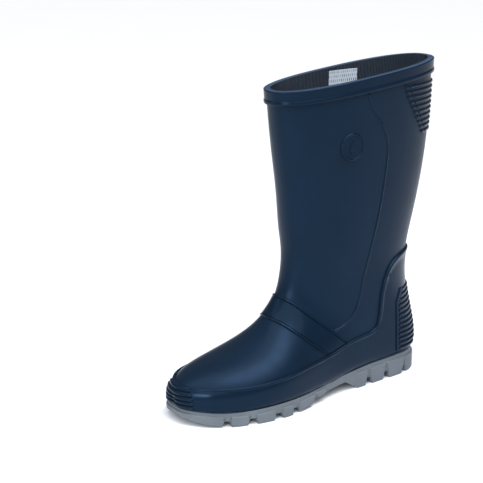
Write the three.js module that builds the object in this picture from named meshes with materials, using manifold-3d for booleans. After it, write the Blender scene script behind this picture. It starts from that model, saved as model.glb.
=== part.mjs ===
// A left rubber rain boot: a moulded navy upper on a lugged grey sole, knit lined.
// Millimetres. +Z up, toe towards -Y, outer side of the foot towards +X.
import * as THREE from 'three';
import { mergeVertices } from 'three/addons/utils/BufferGeometryUtils.js';
import Module from 'manifold-3d';

const wasm = await Module();
wasm.setup();

// Overall sizes
const SOLE_LENGTH = 285;     // back of the heel to the toe, on the upper
const SHAFT_RISE = 208;      // from the bend of the ankle to the middle of the rim
const BALL_WIDTH = 95;       // widest part of the upper, at the ball of the foot
const RIM_WIDTH = 72;        // outside width of the shaft at the rim

// Walls and layers
const GAP = 0.3;             // left between two pieces that touch
const UPPER_WALL = 2.6;
const LINING_WALL = 1.2;
const OVERLAY = 1.6;         // thickness of the bands laid on the upper
const RIB_RISE = 1.4;        // how far a rib stands above its backing
const PIPING_WIDTH = 2;
const PIPING_RISE = 1.1;
const RIM_BAND_DEPTH = 14;
const RIM_BAND_WALL = 1.9;
const EDGE_LIP = 2.6;        // the sole's edge stands this far outside the upper

// Sole
const LUG_DEPTH = 5.5;
const HEEL_LUG_DEPTH = 7;
const ARCH_RISE = 10;
const WAIST_RIB_RISE = 7;     // height of the stiffening rib under the waist
const SIDE_LUG_REACH = 22;   // how far a side notch reaches in from the edge
const CENTRE_GROOVE = 6;     // width of the groove down each side of the middle lugs
const CENTRE_LUG_SHIFT = 11; // the middle notches lie this far behind the side ones
const FILLER_LENGTH = 44;
const FILLER_WIDTH = 46;
const FILLER_HEIGHT = 6;
const FILLER_SETBACK = 16;   // from the back of the upper to the filler
const SHANK_LENGTH = 84;
const SHANK_WIDTH = 16;
const SHANK_THICKNESS = 1.6;
const SHANK_SETBACK = 4;     // from the filler to the shank

// Insole
const FOAM_THICKNESS = 4;
const COVER_THICKNESS = 0.8;

// Trim
const CALF_RIBS = 10;
const CALF_RIB_PITCH = 5.6;
const HEEL_RIBS = 13;
const HEEL_RIB_PITCH = 5.2;
const TOE_RIBS = 5;
const TOE_RIB_PITCH = 4.2;
const BADGE_RADIUS = 14;
const LABEL_LENGTH = 36;
const LABEL_HEIGHT = 16;
const LABEL_THICKNESS = 0.4;

// Fineness of the skin: rings from the toe to the rim, and points round each ring
const RINGS = 28;
const AROUND = 24;

// The last: each row is one section, cut by a plane through its top or front point
// and its bottom or back point. mid is where the section is widest, as a share of the
// way up from the bottom; the half-widths are outer and inner; the last two numbers
// are the exponents of the superellipse above and below its widest level.
const REFERENCE = { length: 285, bend: 110, rise: 208, ball: 95, rim: 72 };
const SECTIONS = [
  // top y, z       bottom y, z    mid  outer inner  above below
  [-285,    24,   -285,   23,   0.50,  0,    0,    2.2, 2.2],   // tip of the toe
  [-281,    37,   -282,    9,   0.46, 17,   18,    2.2, 3.0],
  [-266.5,  45.5, -269.5,  8,   0.42, 32,   29,    2.2, 4.0],
  [-240,    53.5, -242,    8,   0.38, 46.5, 37.5,  2.2, 4.5],   // toe box
  [-211,    62,   -204,    9,   0.34, 54,   41,    2.1, 4.5],   // ball of the foot
  [-189.5,  72.5, -160,   10,   0.32, 52,   39,    2.1, 4.5],
  [-176,    85,   -110,   13,   0.31, 44,   36,    2.1, 4.5],   // waist of the sole
  [-167,    98,    -58,   16,   0.30, 40,   35,    2.1, 4.5],   // instep
  [-160,   115,    -10,   18,   0.30, 38,   36,    2.2, 4.0],   // bend to the heel
  [-156.5, 140,      0,   50,   0.35, 37.5, 36.5,  2.2, 2.6],
  [-158.5, 170,     -8.5, 110,  0.45, 38,   38,    2.2, 2.3],   // ankle
  [-162,   205,      4,  170,   0.50, 38,   38,    2.2, 2.3],
  [-169,   255,     19,  245,   0.52, 37,   37,    2.3, 2.3],   // calf
  [-175,   309,     22,  327,   0.50, 36,   36,    2.4, 2.4],   // rim
];
const BEND_ROW = 8;

// Lengths along the foot stretch with the sole, heights above the bend with the shaft
const lengthwise = (y) => y * SOLE_LENGTH / REFERENCE.length;
const upward = (z) => (z <= REFERENCE.bend
  ? z : REFERENCE.bend + (z - REFERENCE.bend) * SHAFT_RISE / REFERENCE.rise);
const side = (y, z) => new THREE.Vector2(lengthwise(y), upward(z));
const broad = (x, row) => {
  const shaft = THREE.MathUtils.clamp((row - BEND_ROW) / (SECTIONS.length - 1 - BEND_ROW), 0, 1);
  const foot = BALL_WIDTH / REFERENCE.ball;
  return x * THREE.MathUtils.lerp(foot, RIM_WIDTH / REFERENCE.rim, shaft);
};
const last = SECTIONS.map(([ty, tz, by, bz, mid, outer, inner, above, below], row) => [
  lengthwise(ty), upward(tz), lengthwise(by), upward(bz), mid,
  broad(outer, row), broad(inner, row), above, below,
]);

// Cubic spline through (xs, ys); it starts level where level is true, and is natural
// at its other ends
function spline(xs, ys, level = false) {
  const n = xs.length;
  const bend = new Array(n).fill(0);
  const carry = new Array(n).fill(0);
  if (level) {
    const h = xs[1] - xs[0];
    bend[0] = -0.5;
    carry[0] = 3 * (ys[1] - ys[0]) / (h * h);
  }
  for (let i = 1; i < n - 1; i++) {
    const share = (xs[i] - xs[i - 1]) / (xs[i + 1] - xs[i - 1]);
    const p = share * bend[i - 1] + 2;
    const kink = (ys[i + 1] - ys[i]) / (xs[i + 1] - xs[i]) - (ys[i] - ys[i - 1]) / (xs[i] - xs[i - 1]);
    bend[i] = (share - 1) / p;
    carry[i] = (6 * kink / (xs[i + 1] - xs[i - 1]) - share * carry[i - 1]) / p;
  }
  const second = new Array(n).fill(0);
  for (let i = n - 2; i >= 0; i--) second[i] = bend[i] * second[i + 1] + carry[i];
  return (x) => {
    let k = 1;
    while (k < n - 1 && xs[k] < x) k++;
    const h = xs[k] - xs[k - 1];
    const a = (xs[k] - x) / h;
    const b = 1 - a;
    return a * ys[k - 1] + b * ys[k]
      + ((a ** 3 - a) * second[k - 1] + (b ** 3 - b) * second[k]) * h * h / 6;
  };
}

// Distance travelled from the toe to each section, as a share of the whole; its square
// root is the splines' parameter, so that the toe closes as roundly as a ball does
const travelled = last.map(() => 0);
for (let i = 1; i < last.length; i++) {
  const top = Math.hypot(last[i][0] - last[i - 1][0], last[i][1] - last[i - 1][1]);
  const bottom = Math.hypot(last[i][2] - last[i - 1][2], last[i][3] - last[i - 1][3]);
  travelled[i] = travelled[i - 1] + (top + bottom) / 2;
}
const stops = travelled.map((d) => Math.sqrt(d / travelled.at(-1)));
const LENGTHWISE_COLUMNS = [0, 2];
const columns = last[0].map((_, c) => (
  spline(stops, last.map((row) => row[c]), LENGTHWISE_COLUMNS.includes(c))));
const sectionAt = (t) => columns.map((f) => f(t));

// Point of the last at t along it and angle a round its section: 0 is the top or front,
// a quarter turn the outer side, a half turn the bottom or back
function lastPoint(t, a) {
  const [ty, tz, by, bz, mid, outer, inner, above, below] = sectionAt(t);
  const c = Math.cos(a);
  const s = Math.sin(a);
  const n = c > 0 ? above : below;
  const r = (Math.abs(c) ** n + Math.abs(s) ** n) ** (-1 / n);
  const up = mid + r * c * (c > 0 ? 1 - mid : mid);
  const across = r * s * (s > 0 ? outer : inner);
  return new THREE.Vector3(across, by + (ty - by) * up, bz + (tz - bz) * up);
}

const STEP = 1e-3;
function lastNormal(t, a) {
  if (t === 0) return new THREE.Vector3(0, -1, 0);
  const along = lastPoint(Math.min(t + STEP, 1), a).sub(lastPoint(t - STEP, a));
  const round = lastPoint(t, a + STEP).sub(lastPoint(t, a - STEP));
  return round.cross(along).normalize();
}

// The skin's grid: one point at the toe, then a ring of points for each step to the rim
const ROW_SPREAD = 0.75;
const rows = Array.from({ length: RINGS + 1 }, (_, i) => (i / RINGS) ** ROW_SPREAD);
const grid = rows.map((t, i) => {
  const count = i === 0 ? 1 : AROUND;
  return Array.from({ length: count }, (_, j) => {
    const a = 2 * Math.PI * j / AROUND;
    return { point: lastPoint(t, a), normal: lastNormal(t, a) };
  });
});

// One skin, the grid moved out along its normals by offset; triangles face out
function skin(offset, positions, triangles) {
  const first = positions.length / 3;
  for (const ring of grid) {
    for (const { point, normal } of ring) {
      positions.push(...point.clone().addScaledVector(normal, offset).toArray());
    }
  }
  const at = (i, j) => (i === 0 ? first : first + 1 + (i - 1) * AROUND + (j % AROUND));
  for (let i = 0; i < RINGS; i++) {
    for (let j = 0; j < AROUND; j++) {
      if (i > 0) triangles.push([at(i, j), at(i, j + 1), at(i + 1, j + 1)]);
      triangles.push([at(i, j), at(i + 1, j + 1), at(i + 1, j)]);
    }
  }
  return (j) => at(RINGS, j);
}

function toManifold(positions, index) {
  return new wasm.Manifold(new wasm.Mesh({
    numProp: 3,
    vertProperties: new Float32Array(positions),
    triVerts: new Uint32Array(index),
  }));
}

// A sock: the space between two offsets of the last, open at the rim
function sock(outerOffset, innerOffset) {
  const positions = [];
  const outside = [];
  const inside = [];
  const outerRim = skin(outerOffset, positions, outside);
  const innerRim = skin(innerOffset, positions, inside);
  const rim = [];
  for (let j = 0; j < AROUND; j++) {
    rim.push([outerRim(j), outerRim(j + 1), innerRim(j + 1)]);
    rim.push([outerRim(j), innerRim(j + 1), innerRim(j)]);
  }
  const flipped = inside.map(([a, b, c]) => [a, c, b]);
  return toManifold(positions, [...outside, ...flipped, ...rim].flat());
}

// A plug: everything inside one offset of the last, closed across the rim
function plug(offset) {
  const positions = [];
  const triangles = [];
  const rimAt = skin(offset, positions, triangles);
  const middle = new THREE.Vector3();
  for (let j = 0; j < AROUND; j++) middle.add(grid[RINGS][j].point);
  positions.push(...middle.divideScalar(AROUND).toArray());
  const centre = positions.length / 3 - 1;
  for (let j = 0; j < AROUND; j++) triangles.push([rimAt(j), rimAt(j + 1), centre]);
  return toManifold(positions, triangles.flat());
}

function fromGeometry(geometry) {
  geometry.deleteAttribute('normal');
  geometry.deleteAttribute('uv');
  const merged = mergeVertices(geometry, 1e-4);
  return toManifold(merged.attributes.position.array, merged.index.array);
}

// An outline drawn in the side view, pushed across the boot from x0 to x1
const REACH = 90;
function crosswise(outline, x0 = -REACH, x1 = REACH) {
  const geometry = new THREE.ExtrudeGeometry(new THREE.Shape(outline), {
    depth: x1 - x0, bevelEnabled: false,
  });
  const axes = [new THREE.Vector3(0, 1, 0), new THREE.Vector3(0, 0, 1), new THREE.Vector3(1, 0, 0)];
  geometry.applyMatrix4(new THREE.Matrix4().makeBasis(...axes));
  geometry.translate(x0, 0, 0);
  return fromGeometry(geometry);
}

// An outline drawn in the plan, pushed up from z0 to z1
function upright(outline, z0, z1) {
  const geometry = new THREE.ExtrudeGeometry(new THREE.Shape(outline), {
    depth: z1 - z0, bevelEnabled: false,
  });
  geometry.translate(0, 0, z0);
  return fromGeometry(geometry);
}

const box = (x0, x1, y0, y1, z0, z1) => {
  const geometry = new THREE.BoxGeometry(x1 - x0, y1 - y0, z1 - z0);
  geometry.translate((x0 + x1) / 2, (y0 + y1) / 2, (z0 + z1) / 2);
  return fromGeometry(geometry);
};

const smooth = (points, steps) => new THREE.SplineCurve(points).getPoints(steps);
const raised = (points, dz) => points.map((p) => new THREE.Vector2(p.x, p.y + dz));

// Outline moved out by d along its own normals; it runs anticlockwise
function grown(outline, d) {
  const n = outline.length;
  return outline.map((p, i) => {
    const run = outline[(i + 1) % n].clone().sub(outline[(i + n - 1) % n]).normalize();
    return new THREE.Vector2(p.x + run.y * d, p.y - run.x * d);
  });
}

// A band of even width round an open run of points
function ribbon(points, width) {
  const edge = (sign) => points.map((p, i) => {
    const a = points[Math.max(i - 1, 0)];
    const b = points[Math.min(i + 1, points.length - 1)];
    const run = b.clone().sub(a).normalize();
    return new THREE.Vector2(p.x + sign * run.y * width / 2, p.y - sign * run.x * width / 2);
  });
  return [...edge(1), ...edge(-1).reverse()];
}

// Side-view lines that the bands and the sole share
const FAR = 60;                            // clear of the boot, beyond toe and heel
const SKY = 450;                           // higher than the rim
const heelEnd = lengthwise(0) + FAR;
const toeEnd = lengthwise(-REFERENCE.length) - FAR;
const soleLine = smooth([
  side(-285, 15.2), side(-240, 13.8), side(-200, 14.4), side(-160, 15),
  side(-130, 16.8), side(-100, 19.3), side(-70, 21.4), side(-40, 22.6), side(0, 22.2),
], 28);
const fromToeToHeel = (line) => [
  new THREE.Vector2(toeEnd, line[0].y), ...line, new THREE.Vector2(heelEnd, line.at(-1).y),
];

const [rimFrontY, rimFrontZ, rimBackY, rimBackZ] = last.at(-1);
const rimSlope = (rimBackZ - rimFrontZ) / (rimBackY - rimFrontY);
const rimHeight = (y) => rimFrontZ + rimSlope * (y - rimFrontY);
const belowRim = (depth) => [rimFrontY - FAR, rimBackY + FAR].map((y) => (
  new THREE.Vector2(y, rimHeight(y) - depth)));
const underRimBand = crosswise([
  new THREE.Vector2(rimFrontY - FAR, 0), new THREE.Vector2(rimBackY + FAR, 0),
  ...belowRim(RIM_BAND_DEPTH + GAP).reverse(),
]);

const guardFront = [
  side(-292, 36), side(-273, 37), side(-222, 38), side(-175, 42), side(-131, 46),
  side(-100, 53), side(-74, 56.5),
];
const guardCounter = [
  side(-67, 60), side(-64, 72), side(-61, 99), side(-53, 119), side(-37, 130), side(-10, 134),
];
const guardTop = [...smooth(guardFront, 18), ...smooth(guardCounter, 14)];
const guardOutline = [
  ...raised(fromToeToHeel(soleLine), GAP),
  new THREE.Vector2(heelEnd, guardTop.at(-1).y),
  ...guardTop.slice().reverse(),
  new THREE.Vector2(toeEnd, guardTop[0].y),
];
const guardRegion = crosswise(guardOutline);

const strapTop = smooth([
  side(-200, 118), side(-164, 103), side(-145, 86), side(-125, 69), side(-104, 51), side(-92, 42),
], 16);
const strapBottom = smooth([
  side(-215, 98), side(-182, 84), side(-166, 72), side(-153, 61), side(-137, 48), side(-124, 40),
], 16);
const strapOutline = [...strapBottom, ...strapTop.slice().reverse()];

const pipingLine = smooth([
  side(-88, 312), side(-78, 285), side(-65, 268), side(-58, 248), side(-60, 222), side(-67, 184),
  side(-76, 150), side(-84, 120), side(-88, 96), side(-96, 78), side(-108, 69), side(-122, 66),
], 44);

const RIB_MARGIN = 1.5;                    // backing left below the lowest toe rib
const toeRibBottom = 17;
const toeRibTop = toeRibBottom + TOE_RIBS * TOE_RIB_PITCH;
const toeRibRegion = [
  side(-330, toeRibBottom - RIB_MARGIN), side(-278, toeRibBottom - RIB_MARGIN),
  side(-276, toeRibTop), side(-330, toeRibTop),
];
const heelRibBottom = 27;
const heelRibTop = heelRibBottom + HEEL_RIBS * HEEL_RIB_PITCH;
const heelRibRegion = [
  side(-40, heelRibBottom), side(40, heelRibBottom), side(40, heelRibTop),
  side(-34, heelRibTop), side(-42, heelRibTop - 14),
];
const calfRibTop = rimBackZ - RIM_BAND_DEPTH - 6;
const calfRibBottom = calfRibTop - CALF_RIBS * CALF_RIB_PITCH;
const calfRibRegion = [
  new THREE.Vector2(lengthwise(-38), calfRibTop - 3),
  new THREE.Vector2(lengthwise(-33), calfRibTop - 14),
  new THREE.Vector2(lengthwise(-5), calfRibBottom),
  new THREE.Vector2(lengthwise(60), calfRibBottom),
  new THREE.Vector2(lengthwise(60), calfRibTop),
];

// Horizontal ribs on a backing, inside one side-view region. Each rib takes up the middle
// half of its pitch
function ribPanel(region, count, bottom, pitch) {
  const backing = sock(GAP + OVERLAY, GAP);
  const crests = sock(GAP + OVERLAY + RIB_RISE, GAP + OVERLAY / 2);
  let panel = backing;
  for (let k = 0; k < count; k++) {
    const z = bottom + k * pitch + pitch / 4;
    panel = panel.add(crests.intersect(box(-REACH, REACH, toeEnd, heelEnd, z, z + pitch / 2)));
  }
  return panel.intersect(crosswise(region));
}

// The sole's plan: the last's widest points on each side and a rounded heel between
// them, all moved in by inset
const HEEL_SQUARENESS = 2.8;
const SIDE_STEPS = 18;
const HEEL_STEPS = 14;
const LEAST_WIDTH = 2;                     // an inset outline stops where it gets this narrow
function solePlan(inset) {
  const lateral = [];
  const medial = [];
  for (let i = 1; i <= SIDE_STEPS; i++) {
    const t = stops[BEND_ROW] * i / SIDE_STEPS;
    const [ty, , by, , mid, outer, inner] = sectionAt(t);
    const y = by + (ty - by) * mid;
    if (Math.min(inner, outer) > inset + LEAST_WIDTH) {
      lateral.push(new THREE.Vector2(outer - inset, y));
      medial.push(new THREE.Vector2(inset - inner, y));
    }
  }
  const turn = lateral.at(-1);
  const back = last[BEND_ROW + 1][2] - inset - turn.y;
  const heel = [];
  for (let k = 1; k < HEEL_STEPS; k++) {
    const a = Math.PI * k / HEEL_STEPS;
    const width = Math.cos(a) > 0 ? turn.x : -medial.at(-1).x;
    heel.push(new THREE.Vector2(
      Math.sign(Math.cos(a)) * width * Math.abs(Math.cos(a)) ** (2 / HEEL_SQUARENESS),
      turn.y + back * Math.sin(a) ** (2 / HEEL_SQUARENESS),
    ));
  }
  const toe = inset > 0 ? [] : [new THREE.Vector2(0, last[0][0])];
  return [...toe, ...lateral, ...heel, ...medial.reverse()];
}

// The tread's side view, and the stiffening rib that hangs below it under the waist
const TOE_SPRING = 9.5;
const HEEL_BREAST = -93;
const groundLine = [
  side(-310, TOE_SPRING + 5), side(-289, TOE_SPRING), side(-283, 7), side(-270, 3),
  side(-256, 1), side(-243, 0), side(-188, 0), side(-160, 3.2), side(-152, 7),
  side(-109, ARCH_RISE), side(HEEL_BREAST, 0), side(-5, 0), side(2, 3), side(40, 6),
];
const waistRib = crosswise([
  side(-170, 3), side(-150, 3.5), side(-108, WAIST_RIB_RISE), side(-90, WAIST_RIB_RISE),
  side(-90, ARCH_RISE + 2), side(-170, ARCH_RISE - 1),
]);
const FOREFOOT_NOTCHES = [[-257, -250.5], [-234, -226], [-207, -198.5], [-186, -178], [-158, -151]];
const HEEL_NOTCHES = [[-81, -73.5], [-56, -49], [-29, -24]];
const FOREFOOT_LANE = [-256, -162];        // where the grooves beside the middle lugs run
const HEEL_LANE = [-83, -12];

function outsole() {
  const plan = grown(solePlan(0), EDGE_LIP);
  const topEdge = fromToeToHeel(soleLine).slice(1).reverse();
  const middle = upright(solePlan(SIDE_LUG_REACH), -FAR, FAR);
  const core = upright(solePlan(SIDE_LUG_REACH + CENTRE_GROOVE), -FAR, FAR);
  const profile = crosswise([...groundLine, ...topEdge]).add(waistRib.intersect(middle));
  let body = upright(plan, -FAR, FAR).intersect(profile);
  const notches = [
    ...FOREFOOT_NOTCHES.map(([a, b]) => [a, b, LUG_DEPTH]),
    ...HEEL_NOTCHES.map(([a, b]) => [a, b, HEEL_LUG_DEPTH]),
  ];
  for (const [a, b, depth] of notches) {
    const y0 = lengthwise(a);
    const y1 = lengthwise(b);
    body = body.subtract(box(-REACH, REACH, y0, y1, -FAR, depth).subtract(middle));
    const shifted = [y0 + CENTRE_LUG_SHIFT, y1 + CENTRE_LUG_SHIFT];
    body = body.subtract(box(-REACH, REACH, ...shifted, -FAR, depth).intersect(core));
  }
  const lane = middle.subtract(core);
  const fore = box(-REACH, REACH, ...FOREFOOT_LANE.map(lengthwise), -FAR, LUG_DEPTH);
  const heel = box(-REACH, REACH, ...HEEL_LANE.map(lengthwise), -FAR, HEEL_LUG_DEPTH);
  body = body.subtract(lane.intersect(fore.add(heel)));
  return body.subtract(plug(GAP)).subtract(fillerBlock(GAP)).subtract(shankStrip(GAP, FAR));
}

// Underside of the upper along the middle of the foot
const FLOOR_STEPS = 32;
const floorPoints = Array.from({ length: FLOOR_STEPS }, (_, i) => {
  const [, , y, z] = sectionAt(stops[BEND_ROW] * (i + 1) / FLOOR_STEPS);
  return new THREE.Vector2(y, z);
});
const floorHeight = spline(floorPoints.map((p) => p.x), floorPoints.map((p) => p.y));
const floorLine = (y0, y1, dz, steps = 16) => Array.from({ length: steps + 1 }, (_, i) => {
  const y = y0 + (y1 - y0) * i / steps;
  return new THREE.Vector2(y, floorHeight(y) + dz);
});

const fillerBack = last[BEND_ROW + 1][2] - FILLER_SETBACK;
const fillerFront = fillerBack - FILLER_LENGTH;
function fillerBlock(clearance) {
  const top = floorHeight(fillerFront) - GAP * 2;
  return box(
    -FILLER_WIDTH / 2 - clearance, FILLER_WIDTH / 2 + clearance,
    fillerFront - clearance, fillerBack + clearance,
    top - FILLER_HEIGHT - clearance, clearance > 0 ? top + FAR : top,
  );
}

function shankStrip(clearance, headroom = 0) {
  const y1 = fillerFront - SHANK_SETBACK + clearance;
  const y0 = fillerFront - SHANK_SETBACK - SHANK_LENGTH - clearance;
  const lower = floorLine(y0, y1, -2 * GAP - SHANK_THICKNESS - clearance);
  const upper = floorLine(y0, y1, -2 * GAP + headroom);
  const half = SHANK_WIDTH / 2 + clearance;
  return crosswise([...lower, ...upper.reverse()], -half, half);
}

// Foot bed: the inside of the lining between two heights above its floor
const insideLining = -UPPER_WALL - LINING_WALL - 2 * GAP;
function footbed(bottom, top) {
  const y0 = floorPoints[0].x;
  const y1 = floorPoints.at(-1).x;
  const level = (height) => [
    new THREE.Vector2(toeEnd, floorHeight(y0) + height), ...floorLine(y0, y1, height),
    new THREE.Vector2(heelEnd, floorHeight(y1) + height),
  ];
  const between = [...level(bottom - insideLining), ...level(top - insideLining).reverse()];
  return plug(insideLining - GAP).intersect(crosswise(between));
}

const boot = new THREE.Group();
function addPiece(name, manifold, colour, roughness, metalness = 0) {
  const mesh = manifold.getMesh();
  const geometry = new THREE.BufferGeometry();
  geometry.setAttribute('position', new THREE.BufferAttribute(mesh.vertProperties, 3));
  geometry.setIndex(new THREE.BufferAttribute(mesh.triVerts, 1));
  const material = new THREE.MeshStandardMaterial({ color: colour, roughness, metalness });
  const piece = new THREE.Mesh(geometry, material);
  piece.name = name;
  boot.add(piece);
}

const NAVY = '#142238';
const GREY = '#7f888b';

addPiece('upper_shell', sock(0, -UPPER_WALL), NAVY, 0.32);
addPiece('lining_sock', sock(-UPPER_WALL - GAP, -UPPER_WALL - GAP - LINING_WALL), '#31525f', 0.95);

const overlay = sock(GAP + OVERLAY, GAP);
const clearOf = (region, outline) => region.subtract(crosswise(grown(outline, GAP)));
let guard = overlay.intersect(guardRegion);
guard = clearOf(clearOf(guard, toeRibRegion), heelRibRegion);
addPiece('mudguard', guard, NAVY, 0.3);
addPiece('toe_bumper', ribPanel(toeRibRegion, TOE_RIBS, toeRibBottom, TOE_RIB_PITCH), NAVY, 0.28);
addPiece('heel_ribs', ribPanel(heelRibRegion, HEEL_RIBS, heelRibBottom, HEEL_RIB_PITCH), NAVY, 0.34);
addPiece('calf_ribs', ribPanel(calfRibRegion, CALF_RIBS, calfRibBottom, CALF_RIB_PITCH), NAVY, 0.34);

const guardClear = crosswise(grown(guardOutline, GAP));
const strap = overlay.intersect(crosswise(strapOutline)).subtract(guardClear);
addPiece('ankle_band', strap, NAVY, 0.3);

const rimBandRegion = crosswise([
  ...belowRim(RIM_BAND_DEPTH),
  new THREE.Vector2(rimBackY + FAR, SKY), new THREE.Vector2(rimFrontY - FAR, SKY),
]);
addPiece('rim_band', sock(GAP + RIM_BAND_WALL, GAP).intersect(rimBandRegion), NAVY, 0.3);

const pipingRegion = crosswise(ribbon(pipingLine, PIPING_WIDTH));
const strapClear = crosswise(grown(strapOutline, GAP));
const piping = sock(GAP + PIPING_RISE, GAP).intersect(pipingRegion).intersect(underRimBand)
  .subtract(strapClear);
const outerHalf = box(0, REACH, toeEnd, heelEnd, -FAR, SKY);
addPiece('piping_outer', piping.intersect(outerHalf), NAVY, 0.3);
addPiece('piping_inner', piping.subtract(outerHalf), NAVY, 0.3);

const badgeCentre = side(-103, 252);
const BADGE_CORNERS = 28;
const badgeOutline = Array.from({ length: BADGE_CORNERS }, (_, i) => {
  const spoke = new THREE.Vector2(BADGE_RADIUS, 0);
  return spoke.rotateAround(new THREE.Vector2(), 2 * Math.PI * i / BADGE_CORNERS).add(badgeCentre);
});
addPiece('badge', sock(GAP + PIPING_RISE, GAP).intersect(crosswise(badgeOutline, 0, REACH)), NAVY, 0.35);

addPiece('outsole', outsole(), GREY, 0.55);
const underUpper = plug(GAP);
addPiece('heel_filler', fillerBlock(0).subtract(underUpper), '#3b3b3b', 0.9);
addPiece('shank', shankStrip(0).subtract(underUpper), '#8a8d90', 0.4, 0.9);
addPiece('insole_foam', footbed(-FAR, FOAM_THICKNESS), '#5a6068', 0.95);
const coverBottom = FOAM_THICKNESS + GAP;
addPiece('insole_cover', footbed(coverBottom, coverBottom + COVER_THICKNESS), '#27353f', 0.95);

const LABEL_DROP = 3;                      // from the rim's edge to the label's front corner
const labelStart = lengthwise(-79);
const labelTop = rimHeight(labelStart) - LABEL_DROP;
const labelOutline = [
  [0, -LABEL_HEIGHT], [LABEL_LENGTH, -LABEL_HEIGHT], [LABEL_LENGTH, 0], [0, 0],
].map(([dy, dz]) => new THREE.Vector2(labelStart + dy, labelTop + dz));
const labelSkin = sock(insideLining, insideLining - LABEL_THICKNESS);
addPiece('size_label', labelSkin.intersect(crosswise(labelOutline, -REACH, 0)), '#c9cdd0', 0.7);

// The origin goes to the middle of the underside of the whole boot's box
const bounds = new THREE.Box3().setFromObject(boot);
boot.position.set(-(bounds.min.x + bounds.max.x) / 2, -(bounds.min.y + bounds.max.y) / 2, -bounds.min.z);

export default boot;
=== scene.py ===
"""A left rubber rain boot: its moulded upper with bands and ribs, its lugged sole, knit
lining and insole, as finished surfaces over the parts of the frame."""
import math

import bmesh
import bpy
import numpy as np
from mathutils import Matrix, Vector


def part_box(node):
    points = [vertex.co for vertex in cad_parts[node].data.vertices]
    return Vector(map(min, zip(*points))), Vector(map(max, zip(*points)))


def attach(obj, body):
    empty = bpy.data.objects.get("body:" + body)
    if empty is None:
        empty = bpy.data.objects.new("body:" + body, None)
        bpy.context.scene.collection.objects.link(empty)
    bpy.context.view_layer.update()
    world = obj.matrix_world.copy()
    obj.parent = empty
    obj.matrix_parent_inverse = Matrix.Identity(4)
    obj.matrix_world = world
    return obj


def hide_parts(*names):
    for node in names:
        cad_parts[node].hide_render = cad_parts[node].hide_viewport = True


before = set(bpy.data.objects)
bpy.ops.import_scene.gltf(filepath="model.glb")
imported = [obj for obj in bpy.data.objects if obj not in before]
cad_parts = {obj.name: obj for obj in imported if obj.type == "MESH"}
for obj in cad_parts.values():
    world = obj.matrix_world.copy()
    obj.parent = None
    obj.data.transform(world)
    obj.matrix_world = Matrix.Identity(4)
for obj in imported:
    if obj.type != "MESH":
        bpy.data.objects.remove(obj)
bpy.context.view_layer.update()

# ------------------------------------------------------------------ sizes, in millimetres
# +Z up, toe towards -Y, outer side of the foot towards +X
MM = 0.001
GAP = 0.3                # air left between two pieces that touch
UPPER_WALL = 2.6
LINING_OUT = -2.9        # faces of the lining, measured in from the skin
LINING_IN = -4.1
OVERLAY = 1.6            # rise of the bands moulded on the upper
ON_SKIN = 0.04           # underside of a band above the skin
ON_GUARD = 1.94          # rise of the rib panels' underside where it lies on the mudguard
RIM_BAND = 14.0          # depth of the plain band at the rim
BADGE = (-103.0, 252.0)  # centre of the badge in the side view, as y and z
BADGE_RADIUS = 14.0
BADGE_FACE = 0.45        # rise of its flat face
HEEL_BREAST = -93.0      # y of the heel's front face
FOREPART_END = -120.0    # y of the waist's middle, between the forepart's lugs and the heel's
SOLE_LIP = 2.9           # the sole's edge stands this far outside the last
PAD_RISE = 1.9           # a lug stands this far out of the sole's side wall

# Each row is one section of the last, cut by a plane through its top or front point and
# its bottom or back point: top y, z; bottom y, z; level of the widest line as a share of
# the way up; outer and inner half-width; superellipse exponents above and below that line
SECTIONS = np.array([
    [-285, 24, -285, 23, 0.50, 0, 0, 2.2, 2.2],                 # tip of the toe
    [-281, 37, -282, 9, 0.46, 17, 18, 2.2, 3.0],
    [-266.5, 45.5, -269.5, 8, 0.42, 32, 29, 2.2, 4.0],
    [-240, 53.5, -242, 8, 0.38, 46.5, 37.5, 2.2, 4.5],          # toe box
    [-211, 62, -204, 9, 0.34, 54, 41, 2.1, 4.5],                # ball of the foot
    [-189.5, 72.5, -160, 10, 0.32, 52, 39, 2.1, 4.5],
    [-176, 85, -110, 13, 0.31, 44, 36, 2.1, 4.5],               # waist of the sole
    [-167, 98, -58, 16, 0.30, 40, 35, 2.1, 4.5],                # instep
    [-160, 115, -10, 18, 0.30, 38, 36, 2.2, 4.0],               # bend to the heel
    [-156.5, 140, 0, 50, 0.35, 37.5, 36.5, 2.2, 2.6],
    [-158.5, 170, -8.5, 110, 0.45, 38, 38, 2.2, 2.3],           # ankle
    [-162, 205, 4, 170, 0.50, 38, 38, 2.2, 2.3],
    [-169, 255, 19, 245, 0.52, 37, 37, 2.3, 2.3],               # calf
    [-175, 309, 22, 327, 0.50, 36, 36, 2.4, 2.4],               # rim
])
BEND = 8

# The last stands where the shank's centre line and the badge's centre put it
shank_box, badge_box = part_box("shank"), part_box("badge")
ORIGIN = np.array([
    (shank_box[0].x + shank_box[1].x) / 2,
    (badge_box[0].y + badge_box[1].y) / 2 - BADGE[0] * MM,
    0.0,
])


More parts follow.
